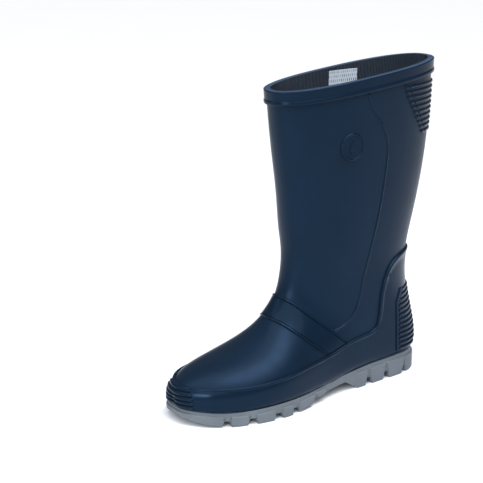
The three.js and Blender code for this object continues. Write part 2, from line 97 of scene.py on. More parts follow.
# ------------------------------------------------------------------ curves and the last
def spline(stops, values, level):
    """Cubic spline through values at stops: its second derivatives solve the usual
    three-term equations, natural at both ends, or with zero slope at the start."""
    gap = np.diff(stops)
    slope = np.diff(values) / gap
    count = len(stops)
    inner = np.arange(1, count - 1)
    terms = np.eye(count)
    terms[inner, inner - 1] = gap[:-1] / 6
    terms[inner, inner] = (gap[:-1] + gap[1:]) / 3
    terms[inner, inner + 1] = gap[1:] / 6
    right = np.zeros(count)
    right[inner] = np.diff(slope)
    if level:
        terms[0, :2] = gap[0] / 3, gap[0] / 6
        right[0] = slope[0]
    bend = np.linalg.solve(terms, right)

    def at(x):
        k = np.clip(np.searchsorted(stops, x), 1, count - 1)
        b = (x - stops[k - 1]) / gap[k - 1]
        a = 1 - b
        curl = (a**3 - a) * bend[k - 1] + (b**3 - b) * bend[k]
        return a * values[k - 1] + b * values[k] + curl * gap[k - 1]**2 / 6

    return at


def through(points, count):
    """Catmull-Rom run of count points through the given ones."""
    p = np.asarray(points, float)
    place = np.linspace(0, len(p) - 1, count)
    k = np.minimum(place.astype(int), len(p) - 2)
    w = (place - k)[:, None]
    before, start = p[np.maximum(k - 1, 0)], p[k]
    end, after = p[k + 1], p[np.minimum(k + 2, len(p) - 1)]
    v0, v1 = (end - before) / 2, (after - start) / 2
    cubed, squared = 2 * start - 2 * end + v0 + v1, 3 * end - 3 * start - 2 * v0 - v1
    return cubed * w**3 + squared * w**2 + v0 * w + start


# The splines' parameter is the square root of the distance travelled from the toe, so the
# toe closes as roundly as a ball does
moved = np.diff(SECTIONS[:, :4], axis=0)
chords = np.hypot(*moved[:, 0:2].T) + np.hypot(*moved[:, 2:4].T)
STOPS = np.sqrt(np.r_[0, np.cumsum(chords)] / chords.sum())
COLUMNS = [spline(STOPS, SECTIONS[:, c], c in (0, 2)) for c in range(9)]


def section(t):
    """The nine values of SECTIONS at t, each from its own spline."""
    return [column(t) for column in COLUMNS]


def last_point(t, a):
    """Point of the last: the section at t, a superellipse, at angle a round it; 0 is the
    top or front, a quarter turn the outer side, a half turn the bottom or back."""
    ty, tz, by, bz, mid, outer, inner, above, below = section(np.clip(t, 0, 1))
    c, s = np.cos(a), np.sin(a)
    n = np.where(c > 0, above, below)
    r = (np.abs(c)**n + np.abs(s)**n)**(-1 / n)
    up = mid + r * c * np.where(c > 0, 1 - mid, mid)
    across = r * s * np.where(s > 0, outer, inner)
    return np.stack([across, by + (ty - by) * up, bz + (tz - bz) * up], -1)


def last_normal(t, a):
    """Unit normal of the last, from the cross product of a small step each way."""
    step = 1e-3
    t = np.clip(t, 2 * step, 1)
    along = last_point(t + step, a) - last_point(t - step, a)
    round_it = last_point(t, a + step) - last_point(t, a - step)
    normal = np.cross(round_it, along)
    return normal / np.linalg.norm(normal, axis=-1, keepdims=True)


def skin(t, a, rise):
    """Point of the last moved out along its normal by rise."""
    t, a, rise = np.broadcast_arrays(t, a, rise)
    return last_point(t, a) + last_normal(t, a) * rise[..., None]


def angle_at(t, up, sign):
    """Angle round the section at t of the point a share up of the way up it."""
    _, _, _, _, mid, _, _, above, below = section(t)
    w = np.clip(np.where(up > mid, (up - mid) / (1 - mid), (up - mid) / mid), -1, 1)
    n = np.where(w > 0, above, below)
    return np.arctan2(sign * (1 - np.abs(w)**n)**(1 / n), w)


# Where the front line and the back line of the last reach a height, as squares of t
fine = np.linspace(0, 1, 6001)
fine_section = section(fine)
lowest = int(np.argmin(fine_section[3][:3000]))
TOE_BOTTOM = fine_section[3][:lowest + 1][::-1], (fine[:lowest + 1]**2)[::-1]
FRONT_LINE = np.maximum.accumulate(fine_section[1]), fine**2
BACK_LINE = np.maximum.accumulate(fine_section[3][lowest:]), fine[lowest:]**2
TOE_POINT = 23.5         # height of the tip: below it the front line runs back under the toe


def belt_ends(z):
    """Squares of t at which the front line and the back line reach height z."""
    front = np.where(z < TOE_POINT, np.interp(z, *TOE_BOTTOM), np.interp(z, *FRONT_LINE))
    return front, np.interp(z, *BACK_LINE)


def belt(psi, z):
    """Section and angle of the skin at height z, psi of the way round the plan: 0 is the
    toe, a half turn the heel, with the outer side between. The square of t goes from the
    front line's to the back line's as half of one minus the cosine of psi."""
    front, back = belt_ends(z)
    t = np.sqrt(front + (back - front) * (1 - np.cos(psi)) / 2)
    _, tz, _, bz = section(t)[:4]
    up = np.clip((z - bz) / np.maximum(tz - bz, 1e-9), 0, 1)
    return t, angle_at(t, up, np.where(np.sin(psi) >= 0, 1, -1))


def side_section(y, z):
    """Section through a point of the side view, found by halving, and how far up it."""
    low, high = np.zeros(np.shape(y)), np.ones(np.shape(y))
    for _ in range(45):
        t = (low + high) / 2
        ty, tz, by, bz = section(t)[:4]
        ahead = (ty - by) * (z - bz) - (tz - bz) * (y - by) < 0
        low, high = np.where(ahead, t, low), np.where(ahead, high, t)
    up = ((y - by) * (ty - by) + (z - bz) * (tz - bz)) / ((ty - by)**2 + (tz - bz)**2)
    return t, up


def side_place(y, z, sign):
    """Section and angle of the skin point seen at (y, z) from one side."""
    t, up = side_section(y, z)
    return t, angle_at(t, np.clip(up, 0, 1), sign)


def side_belt(y, z):
    """The psi of the belt at which height z has that y."""
    t, _ = side_section(y, z)
    front, back = belt_ends(z)
    return np.arccos(np.clip(1 - 2 * (t**2 - front) / (back - front), -1, 1))


# psi unrolled to millimetres round an ellipse as long and as wide as the foot
turn = np.linspace(0, np.pi, 2001)
between = (turn[1:] + turn[:-1]) / 2
unrolled = np.r_[0, np.cumsum(np.hypot(145 * np.sin(between), 45 * np.cos(between)))]
unrolled *= turn[1]


def travelled(points, axis):
    """Distance run along the grid lines of one axis, from their start."""
    step = np.linalg.norm(np.diff(points, axis=axis), axis=-1)
    first = np.zeros_like(np.take(step, [0], axis))
    return np.concatenate([first, np.cumsum(step, axis)], axis)


def rounded(distance, radius):
    """Quarter round: 0 at an edge, 1 from radius inwards."""
    x = 1 - np.clip(distance / radius, 0, 1)
    return np.sqrt(1 - x * x)


def bead(distance, centre, width):
    """Half round of unit height, width across, standing at centre."""
    x = (distance - centre) / (width / 2)
    return np.sqrt(np.clip(1 - x * x, 0, 1))


def ease(x):
    """Smooth step from 0 to 1."""
    x = np.clip(x, 0, 1)
    return x * x * (3 - 2 * x)


def hollow(distance, centre, width):
    """Soft channel of unit depth, width across."""
    return 1 - ease(np.abs(distance - centre) / (width / 2))


def spread(length, near, far, middle):
    """Shares of a run of the given length: set distances from its start and from its end,
    and even steps between. One column for each length."""
    near, far = np.array(near)[:, None], np.array(far)[:, None]
    start, end = near[-1] / length, 1 - far[-1] / length
    between = start + (end - start) * np.linspace(0, 1, middle + 2)[1:-1, None]
    return np.vstack([near / length, between, 1 - far[::-1] / length])


# ------------------------------------------------------------------ materials
def linear(code):
    """sRGB hex colour as linear RGBA."""
    value = np.array([int(code[i:i + 2], 16) for i in (1, 3, 5)]) / 255
    value = np.where(value <= 0.04045, value / 12.92, ((value + 0.055) / 1.055)**2.4)
    return (*value.tolist(), 1.0)


def feed(made, inputs):
    """Sets each named socket of a node to a value, or links it to another node's socket."""
    for key, value in inputs.items():
        if isinstance(value, bpy.types.NodeSocket):
            made.id_data.links.new(value, made.inputs[key])
        else:
            made.inputs[key].default_value = value


def node(tree, kind, inputs, **settings):
    """Adds one node with its settings, and feeds its inputs."""
    made = tree.nodes.new("ShaderNode" + kind)
    for key, value in settings.items():
        setattr(made, key, value)
    feed(made, inputs)
    return made


def per_mm(size):
    """Texture scale whose features are size millimetres across."""
    return 1 / (size * MM)


def material(name, **surface):
    """A material with its shader and the place on the piece; surface sets the shader's own
    sockets."""
    made = bpy.data.materials.new(name)
    made.use_nodes = True
    tree = made.node_tree
    shader = tree.nodes["Principled BSDF"]
    feed(shader, {key.replace("_", " "): value for key, value in surface.items()})
    return made, tree, shader, node(tree, "TexCoord", {}).outputs["Object"]


def moulded_vinyl(name, dark, light, roughness, grain, depth, level=0.14, tint="#a8d2ff"):
    """PVC shot against a mould. A slow cloud shifts its colour and gloss a little, as flow
    in the mould does, and a fine ripple breaks up its reflections, which the plasticiser
    keeps weaker and bluer than a hard plastic's. grain and depth are the ripple's, in mm."""
    made, tree, shader, place = material(
        name, IOR=1.53, Specular_IOR_Level=level, Specular_Tint=linear(tint),
    )
    cloud = node(tree, "TexNoise", {
        "Vector": place, "Scale": per_mm(38), "Detail": 3.0, "Roughness": 0.55,
    })
    tone = node(tree, "Mix", {
        "Factor": cloud.outputs["Fac"], "A": linear(dark), "B": linear(light),
    }, data_type="RGBA")
    gloss = node(tree, "TexNoise", {
        "Vector": place, "Scale": per_mm(9), "Detail": 4.0, "Roughness": 0.6,
    })
    span = node(tree, "MapRange", {
        "Value": gloss.outputs["Fac"], "From Min": 0.3, "From Max": 0.7,
        "To Min": roughness[0], "To Max": roughness[1],
    })
    ripple = node(tree, "TexNoise", {
        "Vector": place, "Scale": per_mm(grain), "Detail": 2.0, "Roughness": 0.5,
    })
    bump = node(tree, "Bump", {
        "Height": ripple.outputs["Fac"], "Strength": 1.0, "Distance": depth * MM,
    })
    feed(shader, {
        "Base Color": tone.outputs["Result"], "Roughness": span.outputs["Result"],
        "Normal": bump.outputs["Normal"],
    })
    return made


def knit(name, dark, light):
    """Weft-knit polyester: cells of one stitch, with painted shade darkening the gaps between them. A
    real stitch is finer; 1.2 mm is the least that shows."""
    made, tree, shader, place = material(
        name, Roughness=0.95, Sheen_Weight=0.12, Sheen_Roughness=0.5, IOR=1.4,
    )
    loops = node(tree, "TexVoronoi", {"Vector": place, "Scale": per_mm(1.2), "Randomness": 0.55})
    # Colour is darkest at the cell edges: painted shade in the gaps between stitches
    share = node(tree, "MapRange", {
        "Value": loops.outputs["Distance"], "From Min": 0.0, "From Max": 0.7,
        "To Min": 1.0, "To Max": 0.0,
    })
    tone = node(tree, "Mix", {
        "Factor": share.outputs["Result"], "A": linear(dark), "B": linear(light),
    }, data_type="RGBA")
    bump = node(tree, "Bump", {
        "Height": loops.outputs["Distance"], "Strength": 0.8, "Distance": 0.25 * MM,
    }, invert=True)
    feed(shader, {"Base Color": tone.outputs["Result"], "Normal": bump.outputs["Normal"]})
    return made


def felt(name, dark, light, fibre):
    """Needled felt or a foam's skin: short fibres or cells of one size in mm, no gloss."""
    made, tree, shader, place = material(name, Roughness=1.0, Sheen_Weight=0.2, IOR=1.4)
    fuzz = node(tree, "TexNoise", {
        "Vector": place, "Scale": per_mm(fibre), "Detail": 6.0, "Roughness": 0.7,
    })
    tone = node(tree, "Mix", {
        "Factor": fuzz.outputs["Fac"], "A": linear(dark), "B": linear(light),
    }, data_type="RGBA")
    bump = node(tree, "Bump", {"Height": fuzz.outputs["Fac"], "Strength": 0.7, "Distance": 0.3 * MM})
    feed(shader, {"Base Color": tone.outputs["Result"], "Normal": bump.outputs["Normal"]})
    return made


def rolled_steel(name):
    """Spring steel strip, rolled along its length: the noise is drawn out into fine lines."""
    made, tree, shader, place = material(name, Metallic=1.0, Base_Color=linear("#8e9194"))
    stretched = node(tree, "Mapping", {"Vector": place, "Scale": (1.0, 0.05, 1.0)})
    lines = node(tree, "TexNoise", {
        "Vector": stretched.outputs["Vector"], "Scale": per_mm(0.8), "Detail": 3.0,
    })
    span = node(tree, "MapRange", {"Value": lines.outputs["Fac"], "To Min": 0.28, "To Max": 0.5})
    feed(shader, {"Roughness": span.outputs["Result"]})
    return made


def woven_tape(name):
    """Satin label tape with rows of printed blocks of chance tone, which say nothing: the
    bricks lie along the leg's side, y across and z up. The weave's threads are 0.4 mm."""
    made, tree, shader, place = material(name, Roughness=0.75, Sheen_Weight=0.2, IOR=1.5)
    apart = node(tree, "SeparateXYZ", {"Vector": place})
    flat = node(tree, "CombineXYZ", {"X": apart.outputs["Y"], "Y": apart.outputs["Z"]})
    blocks = node(tree, "TexBrick", {
        "Vector": flat.outputs["Vector"], "Scale": per_mm(9),
        "Mortar Size": 0.09, "Brick Width": 0.28, "Row Height": 0.5,
        "Color1": linear("#20262b"), "Color2": linear("#8d959a"), "Mortar": linear("#b9bfc3"),
    })
    weave = node(tree, "TexNoise", {"Vector": place, "Scale": per_mm(0.4), "Detail": 1.0})
    bump = node(tree, "Bump", {"Height": weave.outputs["Fac"], "Strength": 0.5, "Distance": 0.1 * MM})
    feed(shader, {"Base Color": blocks.outputs["Color"], "Normal": bump.outputs["Normal"]})
    return made


# Soft PVC off a polished mould: almost black navy with a broad satin glow and no hard glint
NAVY = moulded_vinyl("navy_pvc_polished_mould", "#0b1723", "#0f1e2d", (0.30, 0.38), 4.0, 0.004)
# The same PVC in bands and ribs, where the mould is brighter: narrow clear lights on each edge
NAVY_TRIM = moulded_vinyl("navy_pvc_raised_trim", "#0a1622", "#0d1b29", (0.19, 0.27), 4.0, 0.003)
# The same PVC on the rim's top edge, where it is trimmed: coloured paler as a painted highlight along
# that edge, dull, with drag marks
RIM_PAINTED_HIGHLIGHT = moulded_vinyl("navy_pvc_rim_painted_highlight", "#24364b", "#32465c", (0.45, 0.6), 0.9, 0.03)
# Filled PVC off a blasted mould: flat mid grey with a fine grain, no reflections
SOLE = moulded_vinyl("grey_pvc_matt_sole", "#50565a", "#61676b", (0.5, 0.62), 1.1, 0.07, 0.4, "#ffffff")
# Ribbed knit: dark blue on the stitches and near black in the gaps between them, which is painted
# shade; soft at its edges
LINING = knit("ribbed_knit_polyester_lining", "#061019", "#0f2636")
# Needled felt: dark, dull and fibrous
FELT = felt("needled_felt_insole_cover", "#1d262d", "#36444f", 0.7)
# Open cell foam: mid grey, pitted and dull
FOAM = felt("open_cell_insole_foam", "#4c5359", "#666e75", 1.2)
# Cellular PVC: charcoal with closed pores
FILLER = felt("cellular_pvc_heel_filler", "#2c2c2c", "#454545", 1.0)
# Rolled spring steel: grey metal with a brushed look along the strip
STEEL = rolled_steel("rolled_spring_steel_shank")
# Woven satin tape: pale and faintly shiny, with grey blocks where a label is printed
TAPE = woven_tape("woven_satin_label_tape")


# ------------------------------------------------------------------ meshes
def piece(name, points, faces, materials, replaced, slot, paint=None, weld=0.0, crease=40):
    """One closed mesh from points in millimetres and arrays of face corners; its faces are
    turned outwards, and edges sharper than crease degrees stay sharp."""
    mesh = bpy.data.meshes.new(name)
    corners = [face for group in faces for face in group.tolist()]
    mesh.from_pydata((points.reshape(-1, 3) * MM + ORIGIN).tolist(), [], corners)
    for each in materials:
        mesh.materials.append(each)
    if paint is not None:
        mesh.polygons.foreach_set("material_index", paint.astype(np.int32))
    work = bmesh.new()
    work.from_mesh(mesh)
    if weld:
        bmesh.ops.remove_doubles(work, verts=work.verts, dist=weld * MM)
    bmesh.ops.recalc_face_normals(work, faces=work.faces)
    work.to_mesh(mesh)
    work.free()
    mesh.shade_smooth()
    mesh.set_sharp_from_angle(angle=math.radians(crease))
    made = bpy.data.objects.new(name, mesh)
    bpy.context.scene.collection.objects.link(made)
    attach(made, "root")
    if replaced:
        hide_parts(*replaced)
    return made


def quads(ids):
    """Four-cornered faces between the neighbours of an array of point numbers."""
    return np.stack([ids[:-1, :-1], ids[:-1, 1:], ids[1:, 1:], ids[1:, :-1]], -1).reshape(-1, 4)


def ring_ids(count, around):
    """Numbers of the points of a grid whose columns run round and meet."""
    ids = np.arange(count * around).reshape(count, around)
    return np.c_[ids, ids[:, :1]]


def closed_ring(name, rows, poles, *finish, **more):
    """Closed piece from rows of points that run round it, with a pole point before the
    first row and after the last, each joined to its row by a fan."""
    count, around = rows.shape[:2]
    ids = ring_ids(count, around)
    tops = [
        np.stack([np.full(around, count * around + k), row[:-1], row[1:]], -1)
        for k, row in enumerate((ids[0], ids[-1]))
    ]
    points = np.vstack([rows.reshape(-1, 3), poles])
    return piece(name, points, [quads(ids), *tops], *finish, **more)


def slab(name, top, under, *finish, ring=False, **more):
    """Closed piece between two sheets on the same grid: both sheets and a wall along every
    open edge. With ring, the columns run round and meet."""
    rows, cols = top.shape[:2]
    size = rows * cols
    ids = ring_ids(rows, cols) if ring else np.arange(size).reshape(rows, cols)
    edges = [ids[0], ids[-1]] + ([] if ring else [ids[:, 0], ids[:, -1]])
    walls = [np.stack([e[:-1], e[1:], e[1:] + size, e[:-1] + size], -1) for e in edges]
    points = np.concatenate([top.reshape(-1, 3), under.reshape(-1, 3)])
    return piece(name, points, [quads(ids), quads(ids + size), *walls], *finish, **more)


def overlay(name, t, a, rise, under=ON_SKIN, **more):
    """Trim moulded on the upper: a slab between two offsets of the last."""
    return slab(name, skin(t, a, rise), skin(t, a, under), [NAVY_TRIM], [name], "trim_vinyl", **more)


# ------------------------------------------------------------------ upper and lining
def upper():
    """Sock of two offsets of the last with a rounded edge at the rim: rows go up the
    outside from the toe, over the rim and down the inside to the toe again."""
    around = np.linspace(0, 2 * np.pi, 192, endpoint=False)[None]
    out_t = np.linspace(0.012, 1, 200)**0.85
    lip = 0.0009
    t = np.r_[out_t[:-1], 1 - lip, 1 - lip / 4, 1, 1, 1 - lip / 4, 1 - lip, out_t[::-4][1:]][:, None]
    rise = np.r_[np.zeros(len(out_t) - 1), 0, -0.15, -0.5, -UPPER_WALL + 0.5, -UPPER_WALL + 0.15]
    rise = np.r_[rise, np.full(len(t) - len(rise), -UPPER_WALL)][:, None]
    rows = skin(t, around, rise)
    tip = last_point(np.zeros(1), np.zeros(1))
    poles = np.vstack([tip, tip + [[0, UPPER_WALL, 0]]])
    # The rows over the rim's top take the paler colour: a painted highlight along the edge
    edge = (rise < -0.2) & (rise > -UPPER_WALL + 0.1) & (t > 0.99)
    painted = np.repeat((edge[:-1] | edge[1:])[:, 0], around.size)
    paint = np.r_[painted, np.zeros(2 * around.size)]
    closed_ring("upper", rows, poles, [NAVY, RIM_PAINTED_HIGHLIGHT], ["upper_shell"], "upper_vinyl", paint=paint)


def lining():
    """Knit sock inside the upper. Its inner face carries ribs that run up the leg: a wave
    in the distance round the rim, 0.25 mm high."""
    ribs, per_rib = 250, 4
    dense = np.linspace(0, 2 * np.pi, 4001)
    run = travelled(last_point(np.full(4001, 0.95), dense), 0)
    around = np.interp(np.linspace(0, run[-1], ribs * per_rib, endpoint=False), run, dense)[None]
    wave = 0.25 * np.cos(np.arange(ribs * per_rib) * 2 * np.pi / per_rib)[None]
    in_t = np.linspace(1, 0.03, 64)**0.8
    out_t = np.linspace(0.03, 1, 12)**0.8
    t = np.r_[out_t, in_t][:, None]
    inside = np.r_[np.zeros(len(out_t)), np.ones(len(in_t))][:, None]
    rise = np.where(inside > 0, LINING_IN + wave * (t > 0.2), LINING_OUT)
    rows = skin(t, around, rise)
    tip = last_point(np.zeros(1), np.zeros(1))
    poles = np.vstack([tip + [[0, -LINING_OUT, 0]], tip + [[0, -LINING_IN, 0]]])
    closed_ring("lining", rows, poles, [LINING], ["lining_sock"], "lining_knit")


# ------------------------------------------------------------------ bands on the upper
RIM_SLOPE = (SECTIONS[-1, 3] - SECTIONS[-1, 1]) / (SECTIONS[-1, 2] - SECTIONS[-1, 0])


def rim_height(y):
    """Height of the rim's plane at y."""
    return SECTIONS[-1, 1] + RIM_SLOPE * (y - SECTIONS[-1, 0])


def rising_to(a, height, slope=0.0):
    """The t at which angle a of the skin reaches a plane, found by halving: the plane has
    the given height above the front of the rim and slopes back."""
    a, height = np.broadcast_arrays(a, height)
    low, high = np.full(a.shape, 0.7), np.ones(a.shape)
    for _ in range(40):
        t = (low + high) / 2
        p = last_point(t, a)
        over = p[..., 2] > height + slope * (p[..., 1] - SECTIONS[-1, 0])
        low, high = np.where(over, low, t), np.where(over, t, high)
    return t


def below_rim(a, depth):
    """The t at which angle a of the skin is depth below the rim's plane."""
    return np.where(depth <= 0, 1.0, rising_to(a, SECTIONS[-1, 1] - depth, RIM_SLOPE))


def rim_band():
    """Plain band round the rim that ends in a round ridge at its lower edge. The ridge is a
    bead 12 mm below the rim, and drops back to the skin over 0.9 mm."""
    around = np.linspace(0, 2 * np.pi, 240, endpoint=False)[None]
    depth = np.r_[0, 0.12, 0.35, 0.7, 1.2, np.linspace(2, 9.4, 10), np.linspace(9.9, 14.3, 23), 14.5]
    depth = depth[:, None]
    t = below_rim(around, depth)
    plain = GAP + 1.9 * rounded(depth + 0.08, 0.7)
    ridge = GAP + 1.55 + 1.1 * bead(depth, 12.0, 5.0) - 1.6 * ease((depth - 13.6) / 0.9)
    rise = np.where(depth < 9.7, plain, np.where(depth < 14.4, ridge, 0.4))
    faces = (len(depth) - 1) * around.size
    # The wall along the band's top edge takes the paler colour: a painted highlight
    paint = np.r_[np.zeros(2 * faces), np.ones(around.size), np.zeros(around.size)]
    slab(
        "rim_band", skin(t, around, rise), skin(t, around, ON_SKIN),
        [NAVY_TRIM, RIM_PAINTED_HIGHLIGHT], ["rim_band"], "trim_vinyl", ring=True, paint=paint,
    )


def sole_line(y):
    """Height of the sole's top edge along the foot."""
    line = through([
        (-285, 15.2), (-240, 13.8), (-200, 14.4), (-160, 15), (-130, 16.8), (-100, 19.3),
        (-70, 21.4), (-40, 22.6), (0, 22.2),
    ], 400)
    return np.interp(y, line[:, 0], line[:, 1])


# The mudguard's top edge in the side view: along the foot, then up and round the counter
FOOT_STEPS = 300
GUARD_TOP = np.vstack([
    through([
        (-292, 36), (-273, 37), (-222, 38), (-175, 42), (-131, 46), (-100, 53), (-74, 56.5),
    ], FOOT_STEPS),
    through([(-67, 60), (-64, 72), (-61, 99), (-53, 119), (-37, 130), (-10, 134)], 240),
])


def belt_run(line):
    """A side-view line as (distance unrolled round the plan, z), from the toe to the heel."""
    y, z = line.T
    front, _ = belt_ends(z)
    inside = y > section(np.sqrt(front))[0 if z[0] > TOE_POINT else 2] + 0.3
    psi = side_belt(y[inside], z[inside])
    flat = np.c_[np.interp(psi, turn, unrolled), z[inside]]
    return np.vstack([[0, flat[0, 1]], flat, [unrolled[-1], flat[-1, 1]]])


def both_sides(psi, z):
    """The outer half of a belt grid and its mirror image, as one run round the foot."""
    return np.c_[psi, 2 * np.pi - psi[:, -2:0:-1]], np.c_[z, z[:, -2:0:-1]]


def mudguard():
    """Band round the foot, from the sole's edge to a shaped top edge that climbs the heel
    counter. Columns leave the top edge square to it and land upright on the lower one: a
    Hermite curve between the two. The rise depends on the distance from each edge: both
    are rounded over and carry a bead, with a fine channel above the lower one."""
    top_line = belt_run(GUARD_TOP)
    low_y = np.linspace(-285, 0, 400)
    low_z = sole_line(low_y) + GAP
    low_line = belt_run(np.c_[low_y, low_z])
    run = travelled(top_line, 0)
    share = np.linspace(0, run[-1], 380)
    start = np.stack([np.interp(share, run, top_line[:, k]) for k in (0, 1)], -1)
    # Columns end below where they start along the foot, and fan out under the counter
    under_corner = np.interp(-74.0, low_y, np.interp(side_belt(low_y, low_z), turn, unrolled))
    keys = [0, run[FOOT_STEPS], run[FOOT_STEPS + 195], run[-1]]
    foot_at = np.interp(share, keys, [0, top_line[FOOT_STEPS, 0], under_corner + 42, unrolled[-1]])
    end = np.stack([foot_at, np.interp(foot_at, low_line[:, 0], low_line[:, 1])], -1)
    lead = np.gradient(start, axis=0)
    lead = lead / np.linalg.norm(lead, axis=1, keepdims=True)
    kernel = np.ones(9) / 9
    lead = np.stack([np.convolve(np.pad(lead[:, k], 4, "edge"), kernel, "valid") for k in (0, 1)], -1)
    length = np.linalg.norm(end - start, axis=1)
    leave = np.stack([lead[:, 1], -lead[:, 0]], -1) * length[:, None]
    land = np.stack([0 * length, -length], -1)
    near = [0, 0.12, 0.3, 0.55, 0.85, 1.2, 1.6, 2.1, 2.6, 3.1, 3.6, 4.0, 4.4, 4.8]
    far = [0, 0.1, 0.25, 0.45, 0.7, 1.0, 1.3, 1.7, 2.0, 2.3, 2.7, 3.1, 3.5]
    f = spread(length, near, far, 22)[..., None]
    flat = (start * (1 - f)**2 * (1 + 2 * f) + leave * f * (1 - f)**2
            + end * f * f * (3 - 2 * f) - land * f * f * (1 - f))
    psi, z = both_sides(np.interp(flat[..., 0], unrolled, turn), flat[..., 1])
    t, a = belt(psi, z)
    from_top = travelled(last_point(t, a), 0)
    from_low = from_top[-1:] - from_top
    rise = GAP + (OVERLAY - GAP) * rounded(from_top + 0.05, 1.3) * rounded(from_low + 0.05, 0.7)
    rise += 0.8 * bead(from_top, 2.3, 4.4)
    rise += 0.45 * bead(from_low, 1.3, 2.0) - 0.35 * hollow(from_low, 2.7, 1.0)
    overlay("mudguard", t, a, rise, ring=True)


def rib_wave(height, bottom, pitch, count, width):
    """Unit ribs at even steps of height from bottom up: each is a half round, width across."""
    step = (height - bottom) / pitch
    k = np.clip(np.round(step - 0.5), 0, count - 1)
    return bead((step - k - 0.5) * pitch, 0, width)


def toe_bumper():
    """Five round ribs across the tip of the toe on a thin backing; each rib fades out
    2.2 mm short of the panel's ends."""
    end_y = -277.0
    z = np.linspace(15.9, 36.4, 88)[:, None]
    reach = side_belt(np.full(z.shape, end_y), z)
    psi = reach * np.sin(np.linspace(-np.pi / 2, np.pi / 2, 110))[None]
    t, a = belt(psi, z)
    across = travelled(last_point(t, a), 1)
    ends = np.minimum(across, across[:, -1:] - across)
    wave = rib_wave(z, 16.6, 3.9, 5, 3.4) * rounded(ends - 2.2, 1.3)
    rise = ON_GUARD - 0.6 + 0.4 * rounded(ends, 0.8) + 1.7 * wave
    overlay("toe_bumper", t, a, rise, ON_GUARD - 0.9)


def heel_ribs():
    """Thirteen ribs round the back of the heel, between an upright bar on each side. The
    rib's half round is raised to 0.6, which makes it fuller; its ends stop short of the bar."""
    low, high = 27.3, 94.3
    z = np.linspace(low, high, 270)[:, None]
    edge = np.interp(z, [27, 80.6, 94.6], [-40, -42, -34])
    start = side_belt(edge, z)
    psi = start + (2 * np.pi - 2 * start) * np.linspace(0, 1, 140)[None]
    t, a = belt(psi, z)
    across = travelled(last_point(t, a), 1)
    ends = np.minimum(across, across[:, -1:] - across)
    level = np.minimum(z - low, high - z)
    wave = rib_wave(z, 27.0, 5.2, 13, 3.2)**0.6
    bar = rounded(ends, 0.5) * (ends < 3.6)
    body = np.maximum(bar, wave * rounded(ends - 4.4, 0.6))
    rise = ON_GUARD - 0.9 + 2.1 * body * rounded(level, 0.5)
    overlay("heel_ribs", t, a, rise, ON_GUARD - 1.2)


def calf_ribs():
    """Ten level ribs round the back of the calf, in a short front column and a long one
    round the back, with a 1 mm gap between, on a thin backing whose front edge slants."""
    low, high = 251.4, 306.0
    z = np.linspace(low, high, 280)[:, None]
    _, start = side_place(np.interp(z, [low, 293, high], [-5.0, -33.0, -38.0]), z, 1.0)
    a = start + (2 * np.pi - 2 * start) * np.linspace(0, 1, 170)[None]
    t = rising_to(a, z)
    across = travelled(last_point(t, a), 1)
    ends = np.minimum(across, across[:, -1:] - across)
    level = np.minimum(z - low, high - z)
    wave = rib_wave(z, 252.0, 5.35, 10, 3.3)**0.6
    front = rounded(ends - 0.8, 0.8) * rounded(6.4 - ends, 0.8)
    back = rounded(ends - 7.4, 0.8)
    rise = 0.1 + 0.1 * rounded(ends, 0.6) * rounded(level, 0.5) + 1.7 * wave * np.maximum(front, back)
    overlay("calf_ribs", t, a, rise)


# The instep strap's edges in the side view
STRAP_TOP = through([(-200, 118), (-164, 103), (-145, 86), (-125, 69), (-104, 51), (-92, 42)], 400)
STRAP_LOW = through([(-215, 98), (-182, 84), (-166, 72), (-153, 61), (-137, 48), (-124, 40)], 400)


def ankle_band():
    """Strap moulded over the instep. Both edges run from the mudguard on the inner side
    over the front to the mudguard on the outer side; each has a lip and a fine channel."""
    guard_y, guard_z = GUARD_TOP[:FOOT_STEPS].T
    columns = 150

    def edge_run(line):
        """psi and z along an edge, evenly, from the front line to just clear of the guard."""
        y, z = line.T
        front, _ = belt_ends(z)
        inside = (y > section(np.sqrt(front))[0] + 0.05) & (z > np.interp(y, guard_y, guard_z) + GAP)
        y, z = y[inside], z[inside]
        psi = side_belt(y, z)
        psi, z = np.r_[0, psi], np.r_[z[0], z]
        run = travelled(last_point(*belt(psi, z)), 0)
        even = run[-1] * np.linspace(0, 1, columns)
        return np.interp(even, run, psi), np.interp(even, run, z)

    (psi_high, z_high), (psi_low, z_low) = edge_run(STRAP_TOP), edge_run(STRAP_LOW)
    width = np.full(columns, 22.0)
    edge_rows = [0, 0.12, 0.3, 0.55, 0.85, 1.2, 1.5, 1.8, 2.1, 2.4, 2.7, 3.0, 3.4]
    f = spread(width, edge_rows, edge_rows, 14)
    psi = psi_low + (psi_high - psi_low) * f
    z = z_low + (z_high - z_low) * f
    psi, z = np.c_[-psi[:, :0:-1], psi], np.c_[z[:, :0:-1], z]
    t, a = belt(psi, z)
    place = last_point(t, a)
    low, along = travelled(place, 0), travelled(place, 1)
    high = low[-1:] - low
    side = np.minimum(low, high)
    ends = np.minimum(along, along[:, -1:] - along)
    body = 1.0 * rounded(side + 0.04, 0.8) + 0.4 * bead(side, 1.2, 2.2) - 0.75 * hollow(side, 2.5, 1.1)
    overlay("ankle_band", t, a, GAP + body * rounded(ends + 0.1, 0.8))


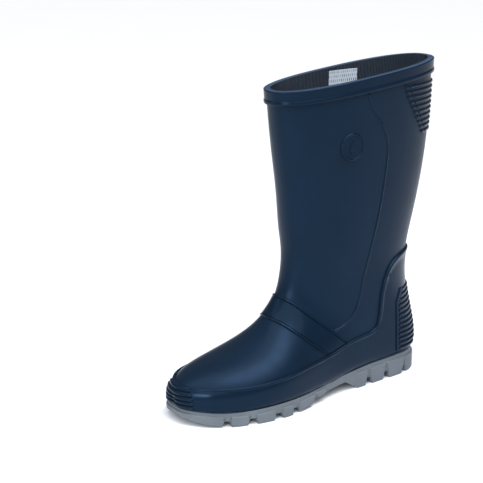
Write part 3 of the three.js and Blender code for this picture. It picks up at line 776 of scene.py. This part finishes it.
def piping(name, sign):
    """Fine ridge moulded down one side of the leg, along a line of the side view, from the
    rim's band to the strap; its section is a squared cosine, and it tapers at both ends."""
    width = 3.4
    line = through([
        (-88, 312), (-78, 285), (-65, 268), (-58, 248), (-60, 222), (-67, 184), (-76, 150),
        (-84, 120), (-88, 96), (-96, 78), (-108, 69), (-122, 66),
    ], 900)
    y, z = line.T
    under_band = z < rim_height(y) - RIM_BAND - 0.9
    clear = z > np.interp(y, *STRAP_TOP.T) + 1.0
    y, z = y[under_band & clear], z[under_band & clear]
    t, a = side_place(y, z, sign)
    base, normal = last_point(t, a), last_normal(t, a)
    lead = np.gradient(base, axis=0)
    cross = np.cross(normal, lead)
    cross /= np.linalg.norm(cross, axis=1, keepdims=True)
    run = travelled(base, 0)
    ends = rounded(np.minimum(run, run[-1] - run) + 0.05, 1.2)[:, None]
    out = np.linspace(-width / 2, width / 2, 17)[None]
    rise = 0.08 + 0.85 * np.cos(out * np.pi / width)**2 * ends
    top = base[:, None] + cross[:, None] * out[..., None] + normal[:, None] * rise[..., None]
    under = base[:, None] + cross[:, None] * out[..., None] + normal[:, None] * ON_SKIN
    slab(name, top, under, [NAVY_TRIM], [name], "trim_vinyl")


def badge():
    """Round badge with a raised ring and a raised raindrop in the middle. The drop is where
    a circle and a cone above it meet; the rise depends on the distance inside its outline."""
    radius = np.r_[np.linspace(0.02, 11.0, 44), np.linspace(11.2, BADGE_RADIUS, 18)][:, None]
    round_it = np.linspace(0, 2 * np.pi, 144, endpoint=False)[None]
    across, up = radius * np.cos(round_it), radius * np.sin(round_it)
    t, a = side_place(BADGE[0] + across, BADGE[1] + up, 1.0)
    ball_radius, ball_up, tip_up, drop_rise = 4.2, -2.2, 7.8, 1.2
    ball = ball_radius - np.hypot(across, up - ball_up)
    lean = math.asin(ball_radius / (tip_up - ball_up))
    cone = (tip_up - up) * math.sin(lean) - np.abs(across) * math.cos(lean)
    drop = np.maximum(ball, np.where(up > -0.4, cone, -9))
    rise = GAP + BADGE_FACE * rounded(BADGE_RADIUS - radius + 0.02, 0.5)
    rise = rise + 1.0 * bead(radius, 12.4, 2.4) + drop_rise * rounded(drop, 1.0) * (drop > 0)
    top, under = skin(t, a, rise), skin(t, a, ON_SKIN)
    middle = side_place(np.array([BADGE[0]]), np.array([BADGE[1]]), 1.0)
    poles = np.vstack([skin(*middle, GAP + BADGE_FACE + drop_rise), skin(*middle, ON_SKIN)])
    rows = np.concatenate([top, under[::-1]])
    closed_ring("badge", rows, poles, [NAVY_TRIM], ["badge"], "trim_vinyl")


def size_label():
    """Short length of tape sewn flat inside the rim, on the inner side of the leg; the
    sheet's edges are rounded off, so that it reads as cloth laid on the knit."""
    front, back, low, high = -79.0, -43.0, 298.5, 314.5
    y, z = np.meshgrid(np.linspace(front, back, 60), np.linspace(low, high, 30))
    t, a = side_place(y, z, -1.0)
    edge = np.minimum(np.minimum(y - front, back - y), np.minimum(z - low, high - z))
    rise = LINING_IN - 0.3 - 0.35 * rounded(edge + 0.05, 0.4)
    under = skin(t, a, LINING_IN - 0.28)
    slab("size_label", skin(t, a, rise), under, [TAPE], ["size_label"], "label_tape")


# ------------------------------------------------------------------ insole
def floor_height(y):
    """Underside of the upper along the middle of the foot."""
    t = np.linspace(0.05, STOPS[BEND], 400)
    by, bz = section(t)[2:4]
    return np.interp(y, by, bz)


def insole_cover():
    """Cover of the insole: a disc whose rim follows the lining round the foot, dished a
    little under the heel and the ball of the foot."""
    psi = np.pi * (1 - np.cos(np.linspace(0, np.pi, 150)[1:-1])) / 2
    height = np.full(psi.shape, 16.0)
    for _ in range(6):
        t, a = belt(psi, height)
        height = floor_height(last_point(t, a)[:, 1]) + 9.2
    edges = []
    for sign in (1, -1):
        t, a = belt(sign * psi, height)
        edges.append(skin(t, a, LINING_IN - 0.9))
    f = np.r_[0, 0.01, 0.03, np.linspace(0.06, 0.94, 40), 0.97, 0.99, 1][None, :, None]
    sheet = edges[0][:, None] * (1 - f) + edges[1][:, None] * f
    inset = np.minimum(f, 1 - f)[..., 0] * np.linalg.norm(edges[0] - edges[1], axis=1)[:, None]
    dish = 0.5 * ease(inset / 14)
    down = np.array([0, 0, -1.0])
    top = sheet + down * (dish + 0.3 * (1 - rounded(inset, 0.8)))[..., None]
    under = sheet + down * (dish + 0.75)[..., None]
    slab("insole_cover", top, under, [FELT], ["insole_cover"], "insole_felt")


# ------------------------------------------------------------------ sole
# The sole's underside in the side view: lowest line of the lugs, and of the rib at the waist
GROUND = np.array([
    (-310, 14.5), (-289, 9.5), (-283, 7), (-270, 3), (-256, 1), (-243, 0), (-188, 0),
    (-160, 3.2), (-152, 7), (-109, 10), (-93, 0), (-5, 0), (2, 3), (40, 6),
])
WAIST_RIB = np.array([(-171, 20), (-170, 3), (-150, 3.5), (-108, 7), (-96, 7), (-95, 20)])
FOREFOOT_NOTCHES = [(-257, -250.5), (-234, -226), (-207, -198.5), (-186, -178), (-158, -151)]
HEEL_NOTCHES = [(-81, -73.5), (-56, -49), (-29, -24)]
LANE_START, LANE_END = 21.6, 27.6    # channel between outer and inner lugs, in from the edge
CORE_SHIFT = 11                      # the inner lugs' gaps lie this far behind the notches


def notch_share(y, widen):
    """1 inside a notch between two lugs, 0 on a lug, easing over 1 mm; widen moves the
    notch's sides apart."""
    spans = np.array(FOREFOOT_NOTCHES + HEEL_NOTCHES, float)
    middle, half = spans.mean(1), np.diff(spans)[:, 0] / 2
    inside = half + np.asarray(widen)[..., None] - np.abs(np.asarray(y)[..., None] - middle)
    return ease(inside.max(-1) + 0.5)


def lug_depth(y):
    """Depth of the notches: shallower in the forepart than in the heel."""
    return np.where(y < FOREPART_END, 5.5, 7.0)


def sole_plan(shares):
    """The sole's outline seen from above, at even steps from toe to heel: for the outer and
    the inner half, points and outward directions. To the bend it is as wide as the last,
    and behind the bend a quarter of a superellipse closes the heel."""
    ty, _, by, _, mid, outer, inner = section(np.linspace(0.0, STOPS[BEND], 900))[:7]
    widest = by + (ty - by) * mid
    widest = np.minimum.accumulate(widest[::-1])[::-1]
    angle = np.linspace(0, np.pi / 2, 300)[1:]
    back = SECTIONS[BEND + 1, 2] - widest[-1]
    power = 2 / 2.8
    y = np.r_[widest, widest[-1] + back * np.sin(angle)**power]
    halves = []
    for width in (outer, inner):
        x = np.r_[width, width[-1] * np.abs(np.cos(angle))**power]
        x[-1] = 0
        plan = np.stack([x, y], -1)
        lead = np.gradient(plan, axis=0)
        lead[0], lead[-1] = (1, 0), (-1, 0)
        out = np.stack([lead[:, 1], -lead[:, 0]], -1) / np.linalg.norm(lead, axis=1)[:, None]
        run = travelled(plan, 0)
        even = shares * run[-1]
        halves.append([np.interp(even, run, v) for v in (*plan.T, *out.T)])
    return halves


def sole_seat(shares):
    """psi and z, at the same steps, of the line where the sole's top edge meets the skin."""
    psi = np.linspace(0.0, np.pi, 900)
    z = np.full(psi.shape, 15.0)
    for _ in range(4):
        line = last_point(*belt(psi, z))
        z = sole_line(line[:, 1])
    run = travelled(line, 0)
    even = shares * run[-1]
    return np.interp(even, run, psi), np.interp(even, run, z)


def side_wall(x, y, out_x, out_y):
    """Rows of the sole's side, from its top edge down to the tread. Each lug is a pad that
    stands out of the wall between notches that widen downwards, and the waist has none.
    The first and last rows round off the wall's two edges."""
    top, ground = sole_line(y), np.interp(y, *GROUND.T)
    foot = np.maximum(ground, lug_depth(y) * notch_share(y, 0))
    f = np.r_[0.0, np.linspace(0.03, 0.97, 26), 1.0][:, None]
    z = top - 0.55 - (top - 0.55 - foot - 0.45) * f
    pad_top = ground + (top - ground) * np.where(y < FOREPART_END, 0.7, 0.8)
    lug = (1 - notch_share(y, 0.9 - 0.2 * z)) * ease((pad_top - z) / 0.7)
    lug = lug * (1 - ease((y + 140) / 2) * (1 - ease(y - HEEL_BREAST + 1)))
    plain = SOLE_LIP - PAD_RISE
    off = plain + PAD_RISE * lug
    off = np.vstack([np.full((1, len(y)), plain - 0.5), off, off[-1:] - 0.45])
    z = np.vstack([top[None] - 0.02, z, foot[None] + 0.02])
    return np.stack([x + out_x * off, y + out_y * off, z], -1)


def tread(edge_x, edge_y, middle_y):
    """Rows of the tread, from the foot of the side wall in to the middle line. It follows
    the ground line, and three cuts rise out of it: the notches between the outer lugs, a
    lane along the foot, and the gaps between the inner lugs. Inside the lane, the waist's
    rib bridges the arch."""
    inset = np.r_[0.6, 1.4, 3, np.linspace(5, 21, 12), 21.6, 22.2, 22.8, 24, 26, 27.4, 28.0, 28.6]
    x = edge_x - np.minimum(inset[:, None], edge_x)
    x = np.vstack([x, np.linspace(1, 0, 8)[1:, None] * x[-1]])
    inwards = edge_x - x
    y = edge_y + (middle_y - edge_y) * np.clip(inwards / np.maximum(edge_x, 1e-6), 0, 1)
    past_start, past_end = ease((inwards - LANE_START) / 0.8), ease((inwards - LANE_END) / 0.8)
    z = np.interp(y, *GROUND.T)
    z = z - np.maximum(z - np.interp(y, *WAIST_RIB.T), 0) * past_start
    side_cut = notch_share(y, 0) * (1 - past_start)
    core_cut = notch_share(y - CORE_SHIFT, 0) * past_end
    lane = past_start * (1 - past_end)
    forepart = ease(y + 256) * (1 - ease(y + 163))
    heel = ease(y - HEEL_BREAST - 10) * (1 - ease(y + 13))
    cut = np.maximum(side_cut, np.maximum(core_cut, lane) * np.clip(forepart + heel, 0, 1))
    return np.stack([x, y, np.maximum(z, lug_depth(y) * cut)], -1)


def outsole():
    """One closed skin. Columns run round the plan, outer side from toe to heel and inner
    side back; rows run from under the foot over the top edge, down the side wall and in
    across the tread to the middle line, where both sides meet."""
    shares = np.linspace(0, 1, 380)
    halves = sole_plan(shares)
    middle_y = (halves[0][1] + halves[1][1]) / 2
    psi, z_seat = sole_seat(shares)
    sides = []
    for sign, half in zip((1, -1), halves):
        t, a = belt(sign * psi, z_seat)
        to_middle = np.linspace(0.92, 0, 9)[:, None]
        seat = skin(t[None], a + (sign * np.pi - a) * to_middle, GAP)
        wall = side_wall(*half)
        under = tread(wall[-1, :, 0], wall[-1, :, 1], middle_y)
        sides.append(np.vstack([seat[:1], seat, np.vstack([wall, under]) * [sign, 1, 1]]))
    outer, inner = sides
    middle_z = [np.minimum(outer[0, :, 2], inner[0, :, 2]), (outer[-1, :, 2] + inner[-1, :, 2]) / 2]
    for side in sides:
        side[0, :, 0], side[0, :, 1], side[0, :, 2] = 0, middle_y, middle_z[0]
        side[-1, :, 0], side[-1, 1:-1, 1], side[-1, :, 2] = 0, middle_y[1:-1], middle_z[1]
        side[:, [0, -1], 0] = 0
    ring = np.concatenate([outer, inner[:, -2:0:-1]], 1)
    faces = quads(ring_ids(*ring.shape[:2]))
    piece("outsole", ring, [faces], [SOLE], ["outsole"], "sole_vinyl", weld=0.004, crease=50)


upper()
lining()
rim_band()
mudguard()
toe_bumper()
heel_ribs()
calf_ribs()
ankle_band()
piping("piping_outer", 1.0)
piping("piping_inner", -1.0)
badge()
size_label()
insole_cover()
outsole()

for name, finish in (("heel_filler", FILLER), ("shank", STEEL), ("insole_foam", FOAM)):
    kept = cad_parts[name]
    kept.data.materials.clear()
    kept.data.materials.append(finish)


# ------------------------------------------------------------------ floor, light and camera
def studio_floor():
    """Level sheet 40 m across, just under the boot."""
    side = np.linspace(-20, 20, 9)
    x, y = np.meshgrid(side, side)
    points = np.stack([x, y, np.full(x.shape, -0.0002)], -1).reshape(-1, 3)
    mesh = bpy.data.meshes.new("floor")
    mesh.from_pydata(points.tolist(), [], quads(np.arange(x.size).reshape(x.shape)).tolist())
    # Matt backdrop paper: one pale tone with a drift too slow to notice
    paper, tree, shader, place = material("white_backdrop_paper", Roughness=0.9)
    drift = node(tree, "TexNoise", {"Vector": place, "Scale": per_mm(200), "Detail": 2.0})
    tone = node(tree, "Mix", {
        "Factor": drift.outputs["Fac"], "A": linear("#e9eaeb"), "B": linear("#ececed"),
    }, data_type="RGBA")
    feed(shader, {"Base Color": tone.outputs["Result"]})
    mesh.materials.append(paper)
    made = bpy.data.objects.new("floor", mesh)
    bpy.context.scene.collection.objects.link(made)


def soft_light(name, at, to, width, height, power, tint="#ffffff"):
    """Rectangular lamp facing a point; places in metres."""
    lamp = bpy.data.lights.new(name, "AREA")
    lamp.shape, lamp.size, lamp.size_y = "RECTANGLE", width, height
    lamp.energy = power
    lamp.color = linear(tint)[:3]
    made = bpy.data.objects.new(name, lamp)
    made.location = at
    made.rotation_mode = "QUATERNION"
    made.rotation_quaternion = (Vector(at) - Vector(to)).to_track_quat("Z", "Y")
    bpy.context.scene.collection.objects.link(made)


MIDDLE = Vector((0, 0, 0.15))    # about half-way up the boot, in metres


def bearing(azimuth, elevation):
    """Unit direction away from the boot: 0 degrees is in front of the toe, 90 its outer side."""
    a, e = math.radians(azimuth), math.radians(elevation)
    return Vector((math.sin(a) * math.cos(e), -math.cos(a) * math.cos(e), math.sin(e)))


studio_floor()
soft_light("window_left", MIDDLE + bearing(-25, 35) * 1.5, MIDDLE, 0.6, 1.1, 3, "#dfeaff")
soft_light("front_panel", MIDDLE + bearing(28, 14) * 2.2, MIDDLE, 0.8, 0.2, 20, "#e8f2ff")
soft_light("top_box", MIDDLE + bearing(110, 72) * 1.15, (0, -0.06, 0.08), 0.85, 0.8, 14.5, "#d2e3ff")

# Broad light overhead, towards the camera, so wide that the floor is lit evenly
overhead = bpy.data.lights.new("overhead", "SUN")
overhead.energy = 3.4
overhead.angle = math.radians(86)
lamp = bpy.data.objects.new("overhead", overhead)
lamp.rotation_mode = "QUATERNION"
lamp.rotation_quaternion = bearing(62, 67).to_track_quat("Z", "Y")
bpy.context.scene.collection.objects.link(lamp)

world = bpy.data.worlds.new("studio")
bpy.context.scene.world = world
world.use_nodes = True
feed(world.node_tree.nodes["Background"], {"Color": linear("#ffffff"), "Strength": 0.2})

# Long lens on the toe and the outer side; the aim is a point of the last, in millimetres
back = bearing(55, 17)
camera_data = bpy.data.cameras.new("camera")
camera_data.sensor_width = 36
camera_data.lens = 93.17
camera_data.clip_start, camera_data.clip_end = 0.01, 50
camera = bpy.data.objects.new("camera", camera_data)
aim = Vector(ORIGIN) + Vector((-43.8, -177.7, 150.0)) * MM
camera.location = aim + back * 1.257
camera.rotation_mode = "QUATERNION"
camera.rotation_quaternion = back.to_track_quat("Z", "Y")
bpy.context.scene.collection.objects.link(camera)
bpy.context.scene.camera = camera
bpy.context.scene.view_settings.view_transform = "Standard"
